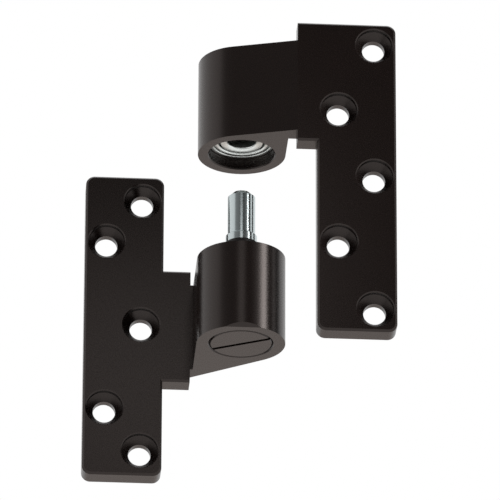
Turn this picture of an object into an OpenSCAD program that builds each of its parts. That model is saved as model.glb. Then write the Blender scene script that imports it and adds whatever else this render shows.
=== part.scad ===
// Lift-off pivot hinge with a ball bearing and a height adjusting screw.
// The two halves stand on one vertical pivot axis, which is the Z axis.
// They are lifted apart, and z = 0 is half-way up the bare length of the pin.
// Leaf faces with the countersinks look towards -Y.

/* [Leaves] */
// Height of the lower leaf's plate
lower_leaf_h = 94.6; // [90:0.1:110]
// Height of the upper leaf's plate
upper_leaf_h = 97.7; // [90:0.1:110]
// Width of both leaf plates
leaf_w = 22.8; // [20:0.1:30]
// Thickness of both leaf plates
leaf_t = 6; // [5.5:0.1:7]
// Radius of the plate corners
corner_r = 2.6; // [1.5:0.1:4]
// Chamfer along the front edges of the plates
edge_chamfer = 0.6; // [0.2:0.1:1]
// Air between the two plates when the hinge is closed
closed_gap = 1; // [0.5:0.1:3]

/* [Knuckles] */
// Diameter of both knuckles
knuckle_d = 25.4; // [24.5:0.1:28]
// Height of the lower knuckle
lower_knuckle_h = 26.7; // [26:0.1:32]
// Height of the upper knuckle
upper_knuckle_h = 28.9; // [26.5:0.1:32]
// Distance between the two knuckles as they are lifted apart
parting = 33.5; // [32:0.1:45]
// Distance from the pivot axis to the countersunk face of the lower plate
lower_face_y = 18.6; // [17:0.1:22]
// Bevel on the front lower edge of the lower knuckle
nose_bevel = 1.1; // [0.5:0.1:1.5]

/* [Lower leaf] */
// Distance from the pivot axis to the near edge of the lower plate
lower_edge_x = 21.4; // [20:0.1:26]
// Distance from the pivot axis to the edge of the lower tab
lower_tab_x = 13.5; // [13:0.1:16]
// Height of the lower tab above the knuckle's top
lower_tab_rise = 4.5; // [2:0.1:4.8]
// Depth of the lower tab below the knuckle's bottom
lower_tab_drop = 3.9; // [2:0.1:8]
// Height of the lower plate's middle above the knuckle's middle
lower_offset = 0.4; // [-3:0.1:3]

/* [Upper leaf] */
// Distance from the pivot axis to the near edge of the upper plate
upper_edge_x = 20.6; // [19:0.1:26]
// Distance from the pivot axis to the edge of the upper tab
upper_tab_x = 15; // [14.5:0.1:17]
// Height of the upper plate and tab above the knuckle's top
upper_rise = 5.9; // [2:0.1:8]
// Depth of the upper tab below the knuckle's bottom
upper_tab_drop = 3.2; // [1:0.1:4]

/* [Screw holes] */
// Diameter of the screw holes
hole_d = 6.5; // [5.5:0.1:7]
// Diameter of the countersinks
sink_d = 10.6; // [9.5:0.1:11.2]
// Depth of the straight mouth that takes a screw head below the face
sink_mouth = 1.7; // [0.5:0.1:2]
// Chamfer round that mouth
sink_lip = 0.3; // [0.1:0.05:0.35]
// Distance of the hole columns from the side edges of a plate
hole_inset = 6.25; // [6:0.05:7.5]
// Distance of the lower plate's end holes from its ends
lower_hole_margin = 7.7; // [7:0.1:12]
// Step from an end hole of the lower plate to the next hole
lower_hole_step = 13.2; // [12:0.1:18]
// Distance of the upper plate's end holes from its ends
upper_hole_margin = 6.9; // [6.2:0.1:10]

/* [Pin] */
// Diameter of the pin
pin_d = 8; // [7:0.1:8.4]
// Parallel length of the pin above its collar
pin_bare = 12.1; // [10:0.1:13]
// Length and depth of the lead-in at the tip
tip_chamfer = 1.3; // [0.5:0.1:2]
// Diameter of the collar that carries the bearing
collar_d = 9.1; // [9:0.1:9.8]
// Height of the collar
collar_h = 2.5; // [2:0.1:4]
// Chamfer of the collar's upper edge
collar_chamfer = 0.4; // [0.1:0.05:0.45]
// Diameter of the foot that rests on the adjusting screw
foot_d = 13; // [12.5:0.1:15]
// Thickness of the foot
foot_t = 3; // [2:0.1:3.5]

/* [Guide bush] */
// Height of the bush's neck above the lower knuckle
neck_h = 4.9; // [4.8:0.1:6]
// Diameter of the bush inside the knuckle
bush_d = 12; // [11:0.1:12.4]
// Thickness of the knuckle's roof round the bush's neck
roof_t = 2; // [1:0.1:3]

/* [Adjusting screw] */
// Diameter of the adjusting screw
screw_d = 17.9; // [17:0.1:18.6]
// Length of the adjusting screw
screw_h = 9.5; // [8:0.1:10]
// Width of its slot
slot_w = 1.2; // [0.8:0.1:2]
// Depth of its slot
slot_depth = 1.8; // [1:0.1:3]
// Turn of the slot away from the X axis
slot_angle = -27; // [-90:1:90]
// Travel of the height adjustment
adjust_travel = 3; // [1:0.1:3.4]
// Chamfer round the screw's face and its bore's mouth
screw_chamfer = 0.3; // [0.1:0.05:0.5]

/* [Bearing] */
// Outer diameter of the bearing
bearing_d = 19; // [18.6:0.1:20]
// Width of the bearing
bearing_h = 6; // [5:0.1:7]
// Depth of the bearing's face inside the upper knuckle
bearing_recess = 3.3; // [2:0.1:4]
// Chamfer of the ring edges
ring_chamfer = 0.5; // [0.2:0.05:0.6]
// Diameter of the circle on which the balls run
pitch_d = 14.4; // [14:0.1:14.6]
// Diameter of the balls
ball_d = 2.8; // [2.5:0.05:2.9]
// Depth of the ball grooves in the ring shoulders
groove_depth = 0.4; // [0.3:0.05:0.5]
// Number of balls
ball_count = 11; // [8:1:12]
// Thickness of the ball cage
cage_t = 0.9; // [0.6:0.05:1.1]
// Height of the cage beyond the balls, above and below
cage_rim = 0.5; // [0.3:0.05:0.6]
// Thickness of the steel shields
shield_t = 0.4; // [0.3:0.05:0.6]
// Depth of the shields below the ring faces
shield_inset = 0.3; // [0.1:0.05:0.35]
// Diameter of the relief that keeps the inner ring off the knuckle
relief_d = 15; // [14:0.1:16]
// Depth of that relief
relief_depth = 0.5; // [0.3:0.1:1]
// Depth of the blind guide bore, from the knuckle's lower face
guide_depth = 18.5; // [18:0.1:22]

/* [Clearances] */
// Radial clearance of the pin in the bush and the inner ring
pin_clearance = 0.03; // [0.02:0.01:0.08]
// Radial clearance of the pin in the upper knuckle's guide bore
guide_clearance = 0.1; // [0.05:0.01:0.3]
// Radial clearance of the adjusting screw in its thread
screw_clearance = 0.2; // [0.1:0.01:0.25]
// Radial gap of pressed-in pieces
press_gap = 0.01; // [0.005:0.005:0.02]
// Clearance of the balls in their races
race_clearance = 0.02; // [0.01:0.01:0.05]
// Gap between a shield and the inner ring
shield_gap = 0.5; // [0.2:0.05:0.6]
// Clearance of the balls in their cage
pocket_clearance = 0.1; // [0.05:0.01:0.15]
// Free height left above the foot at the end of the adjustment
foot_spare = 0.5; // [0.2:0.1:1]

/* [Hidden] */
$fn = 96;
over = 1;

// Heights along the pivot axis
collar_z = -pin_bare / 2;
tip_z = pin_bare / 2 + tip_chamfer;
lower_top = collar_z - collar_h - neck_h;
lower_bottom = lower_top - lower_knuckle_h;
upper_bottom = lower_top + parting;
upper_top = upper_bottom + upper_knuckle_h;
lower_plate_z = (lower_top + lower_bottom) / 2 + lower_offset - lower_leaf_h / 2;
upper_plate_z = upper_top + upper_rise - upper_leaf_h;
screw_top = lower_bottom + screw_h;
foot_top = screw_top + foot_t;
bush_bottom = foot_top + adjust_travel + foot_spare;
bearing_z = upper_bottom + bearing_recess;
bearing_mid = bearing_z + bearing_h / 2;

// Faces of the two plates
knuckle_r = knuckle_d / 2;
lower_back_y = lower_face_y + leaf_t;
upper_face_y = closed_gap - lower_face_y;
upper_back_y = upper_face_y + leaf_t;

// Circles round the axis
pin_r = pin_d / 2;
screw_bore_r = screw_d / 2 + screw_clearance;
neck_r = collar_d / 2;
pitch_r = pitch_d / 2;
inner_shoulder_r = pitch_r - ball_d / 2 + groove_depth;
outer_shoulder_r = pitch_r + ball_d / 2 - groove_depth;
race_r = ball_d / 2 + race_clearance;
seat_r = bearing_d / 2 + press_gap;
shield_in_r = inner_shoulder_r + shield_gap;
cage_h = ball_d + 2 * cage_rim;

// Screw hole places: x runs over the plate's width, z over its height
column_far = leaf_w - hole_inset;
lower_second = lower_hole_margin + lower_hole_step;
upper_hole_step = (upper_leaf_h / 2 - upper_hole_margin) / 2;
lower_holes = [
    [column_far, lower_hole_margin],
    [hole_inset, lower_second],
    [column_far, lower_leaf_h / 2],
    [hole_inset, lower_leaf_h - lower_second],
    [column_far, lower_leaf_h - lower_hole_margin]
];
upper_holes = [
    for (i = [-2:2])
    [i % 2 == 0 ? column_far : hole_inset, upper_leaf_h / 2 + i * upper_hole_step]
];

black_alu = "#2b2725";
black_plastic = "#1c1b1a";
zinc = "#b9bcb8";
steel = "#c9ccca";
cage_steel = "#a9a28c";

// Point where a line from p touches the circle of radius r; side is 1 or -1
function touch(p, r, side) =
    let (a = atan2(p.y, p.x) + side * acos(r / norm(p)))
    [r * cos(a), r * sin(a)];

// Section of a leaf with its two front edges chamfered: across first, then depth
module leaf_section(width) {
    c = edge_chamfer;
    polygon([[c, 0], [width - c, 0], [width, c], [width, leaf_t], [0, leaf_t], [0, c]]);
}

// Bar of that section along X, its front face on y = 0
module bar(length, height) {
    translate([length, 0, 0])
        rotate([0, -90, 0])
            linear_extrude(length)
                leaf_section(height);
}

// Plate with rounded corners: two bars crossing, with a chamfered post at each corner
module plate(height) {
    c = edge_chamfer;
    translate([0, 0, corner_r])
        linear_extrude(height - 2 * corner_r)
            leaf_section(leaf_w);
    translate([corner_r, 0, 0])
        bar(leaf_w - 2 * corner_r, height);
    for (x = [corner_r, leaf_w - corner_r], z = [corner_r, height - corner_r])
        translate([x, 0, z])
            rotate([-90, 0, 0])
                rotate_extrude()
                    polygon([[0, 0], [corner_r - c, 0], [corner_r, c], [corner_r, leaf_t], [0, leaf_t]]);
}

// Hole for a countersunk screw, entered from the front face
module screw_hole() {
    cone_h = (sink_d - hole_d) / 2;
    rotate([-90, 0, 0]) {
        translate([0, 0, -over])
            cylinder(h = sink_lip + over, d1 = sink_d + 2 * (sink_lip + over), d2 = sink_d);
        cylinder(h = sink_mouth, d = sink_d);
        translate([0, 0, sink_mouth])
            cylinder(h = cone_h, d1 = sink_d, d2 = hole_d);
        cylinder(h = leaf_t + over, d = hole_d);
    }
}

module screw_holes(places) {
    for (p = places)
        translate([p.x, 0, p.y])
            screw_hole();
}

// Straight bore with a chamfered mouth at its lower end
module bore_from_below(r, depth, chamfer) {
    translate([0, 0, -over])
        cylinder(h = depth + over, r = r);
    translate([0, 0, -chamfer])
        cylinder(h = 2 * chamfer, r1 = r + 2 * chamfer, r2 = r);
}

// Plan of the lower knuckle and the web that carries it from the tab's back corner
module lower_knuckle_plan() {
    back_corner = [-lower_tab_x, lower_back_y];
    back_touch = touch(back_corner, knuckle_r, -1);
    circle(knuckle_r);
    polygon([
        [0, 0],
        [-knuckle_r, 0],
        [-knuckle_r, lower_face_y],
        [-lower_tab_x, lower_face_y],
        back_corner,
        back_touch
    ]);
}

// Plan of the upper knuckle and the web that carries it from the tab's front corner
module upper_knuckle_plan() {
    front_corner = [upper_tab_x, upper_face_y];
    front_touch = touch(front_corner, knuckle_r, -1);
    circle(knuckle_r);
    polygon([
        [0, 0],
        front_touch,
        front_corner,
        [upper_tab_x, upper_back_y],
        [knuckle_r, upper_back_y],
        [knuckle_r, 0]
    ]);
}

module lower_leaf() {
    tab_h = lower_tab_drop + lower_knuckle_h + lower_tab_rise;
    color(black_alu)
    difference() {
        union() {
            translate([-lower_edge_x - leaf_w, lower_face_y, lower_plate_z])
                plate(lower_leaf_h);
            translate([-lower_edge_x - corner_r, lower_face_y, lower_bottom - lower_tab_drop])
                bar(lower_edge_x + corner_r - lower_tab_x, tab_h);
            translate([0, 0, lower_bottom])
                linear_extrude(lower_knuckle_h)
                    lower_knuckle_plan();
        }
        translate([-lower_edge_x - leaf_w, lower_face_y, lower_plate_z])
            screw_holes(lower_holes);
        translate([0, 0, lower_bottom])
            bore_from_below(screw_bore_r, bush_bottom - lower_bottom, screw_chamfer);
        translate([0, 0, bush_bottom - over])
            cylinder(h = lower_top - roof_t - bush_bottom + over, r = bush_d / 2 + press_gap);
        translate([0, 0, bush_bottom])
            cylinder(h = lower_top - bush_bottom + over, r = neck_r + press_gap);
        translate([0, -knuckle_r, lower_bottom])
            rotate([45, 0, 0])
                cube([knuckle_d, nose_bevel * sqrt(2), nose_bevel * sqrt(2)], center = true);
    }
}

module upper_leaf() {
    tab_z = upper_bottom - upper_tab_drop;
    color(black_alu)
    difference() {
        union() {
            translate([upper_edge_x, upper_face_y, upper_plate_z])
                plate(upper_leaf_h);
            translate([upper_tab_x, upper_face_y, tab_z])
                bar(upper_edge_x + corner_r - upper_tab_x, upper_top + upper_rise - tab_z);
            translate([0, 0, upper_bottom])
                linear_extrude(upper_knuckle_h)
                    upper_knuckle_plan();
        }
        translate([upper_edge_x, upper_face_y, upper_plate_z])
            screw_holes(upper_holes);
        translate([0, 0, upper_bottom])
            bore_from_below(seat_r, bearing_recess + bearing_h, screw_chamfer);
        translate([0, 0, bearing_z])
            cylinder(h = bearing_h + relief_depth, d = relief_d);
        translate([0, 0, bearing_z])
            cylinder(h = guide_depth - bearing_recess, r = pin_r + guide_clearance);
    }
}

// Race: the groove in which the balls run
module race() {
    rotate_extrude()
        translate([pitch_r, 0])
            circle(race_r);
}

module bearing_outer_ring() {
    r = bearing_d / 2;
    c = ring_chamfer;
    h = bearing_h / 2;
    color(steel)
    translate([0, 0, bearing_mid])
    difference() {
        rotate_extrude()
            polygon([
                [outer_shoulder_r, -h], [r - c, -h], [r, c - h],
                [r, h - c], [r - c, h], [outer_shoulder_r, h]
            ]);
        race();
    }
}

module bearing_inner_ring() {
    r = pin_r + pin_clearance;
    c = ring_chamfer;
    h = bearing_h / 2;
    color(steel)
    translate([0, 0, bearing_mid])
    difference() {
        rotate_extrude()
            polygon([
                [r, c - h], [r + c, -h], [inner_shoulder_r, -h],
                [inner_shoulder_r, h], [r + c, h], [r, h - c]
            ]);
        race();
    }
}

// One flat steel ring closes the bearing at each face
module bearing_shields() {
    color(steel)
    for (z = [bearing_z + shield_inset, bearing_z + bearing_h - shield_inset - shield_t])
        translate([0, 0, z])
            difference() {
                cylinder(h = shield_t, r = outer_shoulder_r - press_gap);
                translate([0, 0, -over])
                    cylinder(h = shield_t + 2 * over, r = shield_in_r);
            }
}

// Places its child on the ball circle, once for each ball
module at_balls() {
    for (i = [0:ball_count - 1])
        rotate([0, 0, i * 360 / ball_count])
            translate([pitch_r, 0, bearing_mid])
                children();
}

module bearing_balls() {
    color(steel)
    at_balls()
        sphere(d = ball_d);
}

module bearing_cage() {
    color(cage_steel)
    difference() {
        translate([0, 0, bearing_mid - cage_h / 2])
            difference() {
                cylinder(h = cage_h, r = pitch_r + cage_t / 2);
                translate([0, 0, -over])
                    cylinder(h = cage_h + 2 * over, r = pitch_r - cage_t / 2);
            }
        at_balls()
            sphere(d = ball_d + 2 * pocket_clearance);
    }
}

// One turned piece: foot, shank, collar and lead-in, as half a section
module hinge_pin() {
    collar_r = collar_d / 2;
    color(zinc)
    rotate_extrude()
        polygon([
            [0, screw_top],
            [foot_d / 2, screw_top],
            [foot_d / 2, foot_top],
            [pin_r, foot_top],
            [pin_r, collar_z - collar_h],
            [collar_r, collar_z - collar_h],
            [collar_r, collar_z - collar_chamfer],
            [collar_r - collar_chamfer, collar_z],
            [pin_r, collar_z],
            [pin_r, tip_z - tip_chamfer],
            [pin_r - tip_chamfer, tip_z],
            [0, tip_z]
        ]);
}

// Bush pressed in from below; its neck stands out of the knuckle's roof
module guide_bush() {
    in_r = pin_r + pin_clearance;
    roof_z = lower_top - roof_t;
    color(black_plastic)
    rotate_extrude()
        polygon([
            [in_r, bush_bottom],
            [bush_d / 2, bush_bottom],
            [bush_d / 2, roof_z],
            [neck_r, roof_z],
            [neck_r, lower_top + neck_h],
            [in_r, lower_top + neck_h]
        ]);
}

module adjusting_screw() {
    r = screw_d / 2;
    color(black_alu)
    translate([0, 0, lower_bottom])
    difference() {
        rotate_extrude()
            polygon([[0, 0], [r - screw_chamfer, 0], [r, screw_chamfer], [r, screw_h], [0, screw_h]]);
        rotate([0, 0, slot_angle])
            translate([-screw_d, -slot_w / 2, -over])
                cube([2 * screw_d, slot_w, slot_depth + over]);
    }
}

upper_leaf();
bearing_outer_ring();
bearing_shields();
bearing_inner_ring();
bearing_balls();
bearing_cage();
hinge_pin();
lower_leaf();
guide_bush();
adjusting_screw();
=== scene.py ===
"""Looks of a lift-off pivot hinge: black anodised leaves, a zinc plated pin, a steel ball bearing.

The solids come from the CAD frame. This script gives each node the finish of its real metal or
plastic, turns the bearing's rings and shields with dished, rounded faces, and sets up the camera,
the floor and a soft studio. All lengths are metres in the CAD frame: +Z runs up the pivot axis and
the countersinks look towards -Y.
"""

import math

import bpy
import numpy as np
from mathutils import Matrix, Vector


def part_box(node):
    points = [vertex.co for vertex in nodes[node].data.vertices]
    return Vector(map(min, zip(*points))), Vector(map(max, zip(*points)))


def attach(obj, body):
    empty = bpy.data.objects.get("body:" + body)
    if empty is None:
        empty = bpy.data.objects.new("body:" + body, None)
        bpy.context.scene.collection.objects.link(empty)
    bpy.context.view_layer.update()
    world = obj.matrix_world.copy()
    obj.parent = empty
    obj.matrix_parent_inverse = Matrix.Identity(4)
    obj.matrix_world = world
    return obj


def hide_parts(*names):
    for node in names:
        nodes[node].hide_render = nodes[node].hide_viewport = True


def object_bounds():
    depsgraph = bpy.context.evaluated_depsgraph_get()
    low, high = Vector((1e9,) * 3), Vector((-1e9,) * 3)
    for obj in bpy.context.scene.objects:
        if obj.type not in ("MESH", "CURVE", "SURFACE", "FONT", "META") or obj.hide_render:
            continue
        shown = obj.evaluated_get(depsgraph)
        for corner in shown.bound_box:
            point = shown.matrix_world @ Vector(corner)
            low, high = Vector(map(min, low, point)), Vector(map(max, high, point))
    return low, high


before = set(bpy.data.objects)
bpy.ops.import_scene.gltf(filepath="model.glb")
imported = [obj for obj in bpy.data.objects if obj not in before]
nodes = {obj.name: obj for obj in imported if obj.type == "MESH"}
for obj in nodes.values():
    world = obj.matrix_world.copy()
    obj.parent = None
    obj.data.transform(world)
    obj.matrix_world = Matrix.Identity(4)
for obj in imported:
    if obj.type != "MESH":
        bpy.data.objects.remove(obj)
cad_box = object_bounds()
MM = 0.001


# ---------------------------------------------------------------- colours and node helpers

def linear(code, alpha=1.0):
    """sRGB hex to a linear colour: each channel through the sRGB decoding curve."""
    srgb = np.array([int(code[i:i + 2], 16) for i in (1, 3, 5)]) / 255
    rgb = np.where(srgb <= 0.04045, srgb / 12.92, ((srgb + 0.055) / 1.055) ** 2.4)
    return (*rgb.tolist(), alpha)


def add(tree, kind, settings=None, **inputs):
    """Adds a node. settings are its properties, and inputs are its sockets.

    A socket is named with _ for a space, or i0, i1 and so on by its number. A value that is itself
    a socket is linked, and any other value is set on the socket.
    """
    made = tree.nodes.new(kind)
    for name, value in (settings or {}).items():
        setattr(made, name, value)
    for name, value in inputs.items():
        key = int(name[1:]) if name[1:].isdigit() else name.replace("_", " ")
        socket = made.inputs[key]
        if isinstance(value, bpy.types.NodeSocket):
            tree.links.new(value, socket)
        else:
            socket.default_value = value
    return made


def new_material(name):
    """An empty node material with its output node, as (material, tree, output)."""
    material = bpy.data.materials.new(name)
    material.use_nodes = True
    material.node_tree.nodes.clear()
    output = material.node_tree.nodes.new("ShaderNodeOutputMaterial")
    return material, material.node_tree, output


def remap(tree, value, low, high, out_low, out_high):
    """value between low and high carried to out_low and out_high."""
    ranged = add(tree, "ShaderNodeMapRange", Value=value, From_Min=low, From_Max=high,
                 To_Min=out_low, To_Max=out_high)
    return ranged.outputs["Result"]


def math_node(tree, operation, first, *second):
    """The result of a Math node on one value or two."""
    inputs = {f"i{i}": value for i, value in enumerate((first, *second))}
    return add(tree, "ShaderNodeMath", {"operation": operation}, **inputs).outputs[0]


def put(name, data):
    """A new object with this data at the origin, linked to the scene."""
    made = bpy.data.objects.new(name, data)
    bpy.context.scene.collection.objects.link(made)
    return made


# ---------------------------------------------------------------- finishes

def object_place(tree):
    """Object coordinates, in metres from the origin of the frame."""
    return add(tree, "ShaderNodeTexCoord").outputs["Object"]


def noise(tree, place, size, detail, roughness=0.5):
    """A noise factor whose largest features are about size across."""
    return add(tree, "ShaderNodeTexNoise", Vector=place, Scale=1 / size, Detail=detail,
               Roughness=roughness).outputs["Fac"]


def tones(tree, factor, dark, light):
    """A colour between two sRGB hex tones."""
    return add(tree, "ShaderNodeMix", {"data_type": "RGBA"}, Factor=factor,
               A=linear(dark), B=linear(light)).outputs["Result"]


def coat(tree, output, colour, marks, rough, bump=None):
    """The surface shader: marks between 0.3 and 0.7 carry its roughness over the range rough.

    bump is (strength, depth) for the same marks, and the shader is returned for its constants.
    """
    shader = add(tree, "ShaderNodeBsdfPrincipled", Base_Color=colour,
                 Roughness=remap(tree, marks, 0.3, 0.7, *rough))
    if bump:
        strength, depth = bump
        raised = add(tree, "ShaderNodeBump", Strength=strength, Distance=depth, Height=marks)
        tree.links.new(raised.outputs["Normal"], shader.inputs["Normal"])
    tree.links.new(shader.outputs["BSDF"], output.inputs["Surface"])
    return shader


def black_anodised_aluminium():
    """Black anodised aluminium, bead blasted before the dye.

    A dyed oxide skin over a fine blasted grain: a near-black warm body under a satin reflection
    that is broad on the faces and brightens at grazing angles.
    """
    material, tree, output = new_material("black_anodised_aluminium")
    place = object_place(tree)
    grain = noise(tree, place, 0.25 * MM, 3.0, 0.6)
    cloud = noise(tree, place, 14 * MM, 2.0)
    shader = coat(tree, output, tones(tree, cloud, "#120907", "#180e0b"), grain, (0.24, 0.29),
                  (0.12, 0.02 * MM))
    shader.inputs["IOR"].default_value = 1.5
    shader.inputs["Specular Tint"].default_value = linear("#fff0ea")
    return material


def bright_zinc():
    """Turned steel under bright zinc with a clear chromate.

    A mirror-like grey metal with faint turning rings that stretch its highlights along the axis.
    """
    material, tree, output = new_material("bright_zinc_plated_steel")
    squashed = add(tree, "ShaderNodeMapping", Vector=object_place(tree), Scale=(1, 1, 12))
    turning = noise(tree, squashed.outputs["Vector"], 1.2 * MM, 4.0, 0.6)
    shader = coat(tree, output, tones(tree, turning, "#b9c4c6", "#cbd3d3"), turning, (0.13, 0.21),
                  (0.05, 0.01 * MM))
    shader.inputs["Metallic"].default_value = 1.0
    return material


def ground_steel(name, dark, light):
    """Bearing steel, ground and polished: rings of fine grinding marks round the axis.

    The marks spread each reflection a little, so the rings stay light with soft streaks.
    """
    material, tree, output = new_material(name)
    place = object_place(tree)
    flat = add(tree, "ShaderNodeVectorMath", {"operation": "MULTIPLY"}, i0=place, i1=(1, 1, 0))
    radius = add(tree, "ShaderNodeVectorMath", {"operation": "LENGTH"}, i0=flat.outputs["Vector"])
    height = add(tree, "ShaderNodeSeparateXYZ", Vector=place).outputs["Z"]
    polar = add(tree, "ShaderNodeCombineXYZ", X=radius.outputs["Value"], Y=height)
    marks = noise(tree, polar.outputs["Vector"], 0.12 * MM, 2.0)
    shader = coat(tree, output, tones(tree, marks, dark, light), marks, (0.22, 0.3),
                  (0.06, 0.01 * MM))
    shader.inputs["Metallic"].default_value = 1.0
    return material


def black_acetal():
    """Black acetal, turned from rod: a deep black with a soft waxy gloss and faint tool marks."""
    material, tree, output = new_material("black_acetal")
    squashed = add(tree, "ShaderNodeMapping", Vector=object_place(tree), Scale=(1, 1, 20))
    marks = noise(tree, squashed.outputs["Vector"], 2 * MM, 3.0)
    shader = coat(tree, output, tones(tree, marks, "#0c0908", "#120e0c"), marks, (0.44, 0.54))
    shader.inputs["IOR"].default_value = 1.45
    return material


BLACK = black_anodised_aluminium()
ZINC = bright_zinc()
STEEL = ground_steel("ground_bearing_steel", "#dde1df", "#ebeeea")
CAGE = ground_steel("pressed_cage_steel", "#a79f8c", "#b9b19c")
ACETAL = black_acetal()

FINISH = {
    "upper_leaf": BLACK,
    "lower_leaf": BLACK,
    "adjusting_screw": BLACK,
    "guide_bush": ACETAL,
    "hinge_pin": ZINC,
    "bearing_outer_ring": STEEL,
    "bearing_inner_ring": STEEL,
    "bearing_shields": STEEL,
    "bearing_balls": STEEL,
    "bearing_cage": CAGE,
}
for name, material in FINISH.items():
    mesh = nodes[name].data
    mesh.materials.clear()
    mesh.materials.append(material)


# ---------------------------------------------------------------- bearing rings and shields

AROUND = 192                        # points round a turned ring
SHARP = math.radians(50)            # steeper folds than this are drawn as edges
EASE = 0.02 * MM                    # the races are this much larger in radius than the balls
CORNER = 0.35 * MM                  # round of the outer ring's corners
SHEET = 0.28 * MM                   # thickness of a pressed shield


def reach(name):
    """Smallest and largest distance of a node's points from the pivot axis."""
    mesh = nodes[name].data
    points = np.empty(len(mesh.vertices) * 3)
    mesh.vertices.foreach_get("co", points)
    radii = np.hypot(points[0::3], points[1::3])
    return float(radii.min()), float(radii.max())


def bend(centre, radius, start, end, count=8):
    """Points of an arc in the (radius, height) plane.

    Each is centre + radius (cos a, sin a), with a in even steps of degrees from start to end.
    """
    return [(centre[0] + radius * math.cos(a), centre[1] + radius * math.sin(a))
            for a in np.radians(np.linspace(start, end, count))]


def turned(name, loops, node, body, material):
    """Closed outlines turned round the pivot axis, in place of a CAD node.

    Point i of an outline at angle t is (r_i cos t, r_i sin t, z_i). An outline runs outwards along
    its lower side, so the faces look outwards.
    """
    angles = np.linspace(0, 2 * math.pi, AROUND, endpoint=False)
    points, faces = [], []
    for loop in loops:
        r, z = np.array(loop).T
        size, base = len(r), len(points)
        rings = np.stack([np.outer(np.cos(angles), r), np.outer(np.sin(angles), r),
                          np.broadcast_to(z, (AROUND, size))], 2)
        points.extend(rings.reshape(-1, 3).tolist())
        for i in range(AROUND):
            here, there = base + i * size, base + (i + 1) % AROUND * size
            faces.extend((here + j, there + j, there + (j + 1) % size, here + (j + 1) % size)
                         for j in range(size))
    mesh = bpy.data.meshes.new(name)
    mesh.from_pydata(points, [], faces)
    mesh.materials.append(material)
    mesh.polygons.foreach_set("use_smooth", [True] * len(faces))
    mesh.set_sharp_from_angle(angle=SHARP)
    made = put(name, mesh)
    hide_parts(node)
    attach(made, body)


def ball_bearing():
    """The bearing's rings and shields, dished and rounded as they leave the grinder and the press.

    Each outline is written as (radius, height above the lower face) for its lower half and mirrored
    about the balls' middle plane. The faces fall inwards to the bore by under a millimetre, with a
    dark gap on each side of a shield, so the light runs round them in rings.
    """
    low, high = (corner.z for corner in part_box("bearing_outer_ring"))
    shoulder_out, outside = reach("bearing_outer_ring")
    bore, shoulder_in = reach("bearing_inner_ring")
    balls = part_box("bearing_balls")
    middle, ball_r = (low + high) / 2, (balls[1].z - balls[0].z) / 2
    pitch = reach("bearing_balls")[1] - ball_r
    race = ball_r + EASE
    lean = math.degrees(math.acos((shoulder_out - pitch) / race))

    def places(start, shifts):
        """Points at start + dr in radius and dz over the lower face, both in millimetres."""
        return [(start + dr * MM, low + dz * MM) for dr, dz in shifts]

    def flipped(points):
        """The same outline seen in the balls' middle plane, run the other way."""
        return [(r, low + high - z) for r, z in reversed(points)]

    # From the race down its shoulder, out along the lower face and round the outer corner.
    outer = (bend((pitch, middle), race, 0, -lean)
             + places(shoulder_out, [(0, 0.4), (0.05, 0.2), (0.16, 0.12), (0.6, 0.04)])
             + bend((outside - CORNER, low + CORNER), CORNER, -90, 0, 7))
    turned("dressed_bearing_outer_ring", [outer + flipped(outer)], "bearing_outer_ring",
           "frame_half", STEEL)

    # From the bore down its rounded mouth, out along the dished face and up into the race.
    inner = (places(bore, [(0, 1.1), (0.04, 0.94), (0.18, 0.78), (0.4, 0.7)])
             + places(shoulder_in, [(-0.24, 0.36), (-0.08, 0.38), (0, 0.5)])
             + bend((pitch, middle), race, 180 + lean, 180))
    turned("dressed_bearing_inner_ring", [inner + flipped(inner)], "bearing_inner_ring",
           "inner_ring", STEEL)

    # A rolled inner edge, a flat that falls outwards, and a lip tucked into the outer ring.
    face = places(shoulder_in, [(0.5, 0.66), (0.54, 0.5), (0.64, 0.42), (1.62, 0.14),
                                (1.74, 0.18), (1.8, 0.36), (1.84, 0.62), (1.98, 0.7)])
    lower = face + [(r, z + SHEET) for r, z in reversed(face)]
    turned("dressed_bearing_shields", [lower, flipped(lower)], "bearing_shields",
           "frame_half", STEEL)


ball_bearing()


# ---------------------------------------------------------------- camera

LENS_SENSOR = 36.0                  # sensor width in millimetres
VIEW_WIDTH = 143.678 * MM           # width of the view at the pivot axis
CAMERA_RANGE = 1.868                # distance from the aim point in metres
CAMERA_TURN = math.radians(3.75)    # the camera stands this far left of the front
CAMERA_RISE = math.radians(25.4)    # and looks up at the hinge by this angle
CAMERA_ROLL = math.radians(0.21)
CLIP = (0.1, 50.0)                  # nearest and farthest distance drawn
NECK_HEIGHT = 4.9 * MM              # the bush's neck over the top of the lower knuckle
AIM_RIGHT = 2.52 * MM               # aim point from the middle of the knuckle's top
AIM_UP = 2.73 * MM


def place_camera():
    """A long lens below the hinge, back from the aim point along the viewing direction.

    At turn t and rise e the camera looks along (sin t cos e, cos t cos e, sin e).
    """
    look = Vector((math.sin(CAMERA_TURN) * math.cos(CAMERA_RISE),
                   math.cos(CAMERA_TURN) * math.cos(CAMERA_RISE),
                   math.sin(CAMERA_RISE)))
    right = Vector((math.cos(CAMERA_TURN), -math.sin(CAMERA_TURN), 0))
    up = right.cross(look)
    c, s = math.cos(CAMERA_ROLL), math.sin(CAMERA_ROLL)
    right, up = right * c + up * s, up * c - right * s
    knuckle_top = Vector((0, 0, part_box("guide_bush")[1].z - NECK_HEIGHT))
    aim = knuckle_top + right * AIM_RIGHT + up * AIM_UP
    camera = put("camera", bpy.data.cameras.new("camera"))
    turn = Matrix((right, up, -look)).transposed().to_4x4()
    camera.matrix_world = Matrix.Translation(aim - look * CAMERA_RANGE) @ turn
    camera.data.sensor_width = LENS_SENSOR
    camera.data.lens = LENS_SENSOR * CAMERA_RANGE / VIEW_WIDTH
    camera.data.clip_start, camera.data.clip_end = CLIP
    bpy.context.scene.camera = camera


place_camera()


# ---------------------------------------------------------------- studio

WORLD_FILL = 0.42                   # strength of the white surroundings as a light


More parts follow.
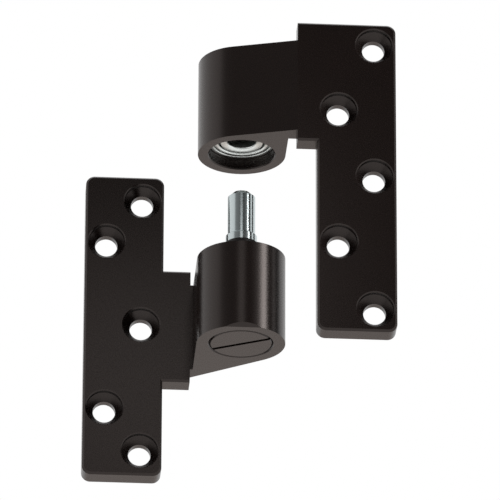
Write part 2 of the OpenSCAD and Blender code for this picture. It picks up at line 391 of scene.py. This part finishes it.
def backdrop_mix(tree, seen, other):
    """A shader that is seen for camera, glossy and transmission rays and other for the rest."""
    path = add(tree, "ShaderNodeLightPath").outputs
    direct = math_node(tree, "MAXIMUM", path["Is Camera Ray"], path["Is Glossy Ray"])
    direct = math_node(tree, "MAXIMUM", direct, path["Is Transmission Ray"])
    return add(tree, "ShaderNodeMixShader", i0=direct, i1=other, i2=seen).outputs[0]


def glow(tree, colour):
    """An even emission of this colour, at full strength."""
    return add(tree, "ShaderNodeEmission", Color=colour, Strength=1.0).outputs[0]


def backdrop(name, points, faces, material):
    """A surface of the studio, which isn't part of the hinge."""
    mesh = bpy.data.meshes.new(name)
    mesh.from_pydata(points, [], faces)
    mesh.materials.append(material)
    made = put(name, mesh)
    return made


def white_world():
    """White paper all round: full white where it is seen or mirrored, softer as a light."""
    world = bpy.data.worlds.new("studio")
    world.use_nodes = True
    tree = world.node_tree
    tree.nodes.clear()
    seen = add(tree, "ShaderNodeBackground", Color=(1, 1, 1, 1), Strength=1.0)
    fill = add(tree, "ShaderNodeBackground", Color=(1, 1, 1, 1), Strength=WORLD_FILL)
    output = tree.nodes.new("ShaderNodeOutputWorld")
    mixed = backdrop_mix(tree, seen.outputs[0], fill.outputs[0])
    tree.links.new(mixed, output.inputs["Surface"])
    bpy.context.scene.world = world


def card(name, centre, facing, width, height, material):
    """A flat card that looks from centre towards facing; the camera doesn't see it."""
    out = (Vector(facing) - Vector(centre)).normalized()
    side = Vector((0, 0, 1)).cross(out).normalized()
    up = out.cross(side)
    corners = [Vector(centre) + side * (x * width / 2) + up * (y * height / 2)
               for x, y in ((-1, -1), (1, -1), (1, 1), (-1, 1))]
    backdrop(name, corners, [(0, 1, 2, 3)], material).visible_camera = False


def softbox(name, centre, facing, width, height, watts):
    """A rectangular lamp that looks from centre towards facing."""
    lamp = bpy.data.lights.new(name, "AREA")
    lamp.shape = "RECTANGLE"
    lamp.size = width
    lamp.size_y = height
    lamp.energy = watts
    made = put(name, lamp)
    aim = (Vector(facing) - Vector(centre)).to_track_quat("-Z", "Y")
    made.matrix_world = Matrix.Translation(centre) @ aim.to_matrix().to_4x4()
    made.visible_camera = False


def round_about(degrees, distance, height):
    """A place on a circle round the pivot axis: 0 is in front of the hinge, 90 on its right."""
    a = math.radians(degrees)
    return (distance * math.sin(a), -distance * math.cos(a), height)


def pale_floor():
    """A wide pale floor far below, which stays white to the eye and in reflections."""
    half, drop = 20.0, -2.5
    material, tree, output = new_material("pale_floor_paper")
    paper = add(tree, "ShaderNodeBsdfDiffuse", Color=linear("#f4f4f2"))
    mixed = backdrop_mix(tree, glow(tree, linear("#ffffff")), paper.outputs[0])
    tree.links.new(mixed, output.inputs["Surface"])
    corners = [(x * half, y * half, drop) for x, y in ((-1, -1), (1, -1), (1, 1), (-1, 1))]
    backdrop("floor", corners, [(0, 1, 2, 3)], material)


def azimuth(tree):
    """The angle round the pivot axis in degrees: 0 in front of the hinge, 90 on its right."""
    place = add(tree, "ShaderNodeSeparateXYZ", Vector=object_place(tree)).outputs
    forward = math_node(tree, "MULTIPLY", place["Y"], -1.0)
    return math_node(tree, "DEGREES", math_node(tree, "ARCTAN2", place["X"], forward))


def graded_screen():
    """A screen bent round the hinge, dark in front and paler to the left.

    A point at azimuth a is (R sin a, -R cos a, z), and its brightness follows the stops, each an
    azimuth in degrees and a brightness.
    """
    radius, low, high, count = 1.0, -0.75, 1.85, 60
    stops = [(-125, 1.0), (-90, 0.92), (-70, 0.85), (-61, 0.78), (-57, 0.42), (-50, 0.25),
             (-28, 0.2), (-12, 0.14), (2, 0.09), (12, 0.07), (30, 0.12), (46, 0.32)]
    first, last = stops[0][0], stops[-1][0]
    material, tree, output = new_material("graded_grey_screen")
    ramp = add(tree, "ShaderNodeValToRGB", Fac=remap(tree, azimuth(tree), first, last, 0, 1))
    marks = ramp.color_ramp.elements
    marks[0].position, marks[1].position = 0, 1
    for degrees, _ in stops[1:-1]:
        marks.new((degrees - first) / (last - first))
    for mark, (_, bright) in zip(marks, stops):
        mark.color = (bright, bright, bright, 1)
    tree.links.new(glow(tree, ramp.outputs["Color"]), output.inputs["Surface"])
    angles = np.radians(np.linspace(first, last, count))
    x, y = radius * np.sin(angles), -radius * np.cos(angles)
    points = np.concatenate([np.stack([x, y, np.full_like(x, z)], 1) for z in (low, high)])
    faces = [(i, i + 1, i + 1 + count, i + count) for i in range(count - 1)]
    backdrop("graded_screen", points.tolist(), faces, material).visible_camera = False


def dark_cloth():
    """Black studio cloth for the flags."""
    material, tree, output = new_material("black_flag_cloth")
    shader = add(tree, "ShaderNodeBsdfDiffuse", Color=linear("#1c1a19"))
    tree.links.new(shader.outputs["BSDF"], output.inputs["Surface"])
    return material


def warm_paper():
    """Slightly warm grey paper behind and below the hinge, mirrored in the faces that look down."""
    material, tree, output = new_material("warm_grey_paper")
    tree.links.new(glow(tree, linear("#ece2dc")), output.inputs["Surface"])
    return material


white_world()
pale_floor()
graded_screen()
middle = (cad_box[0] + cad_box[1]) / 2
# A sheet of warm paper below and behind softens the mirrored floor in the faces that look down.
card("low_paper", (0.06, 0.9, -0.42), middle, 1.1, 0.5, warm_paper())
# A narrow black flag on the right gives the knuckle's edge its dark line.
card("side_flag", round_about(103, 0.6, 0.3), middle, 0.19, 1.2, dark_cloth())
# A tall strip lamp on the right draws the narrow highlight down the knuckle and the pin.
softbox("strip_lamp", round_about(59.5, 0.7, 0.38), middle, 0.22, 0.66, 3.1)
# A small lamp close in front brightens the foot of the lower leaf.
softbox("front_lamp", (-0.014, -0.306, 0.093), (-0.033, 0.019, -0.06), 0.09, 0.09, 0.028)

bpy.context.scene.view_settings.view_transform = "Standard"
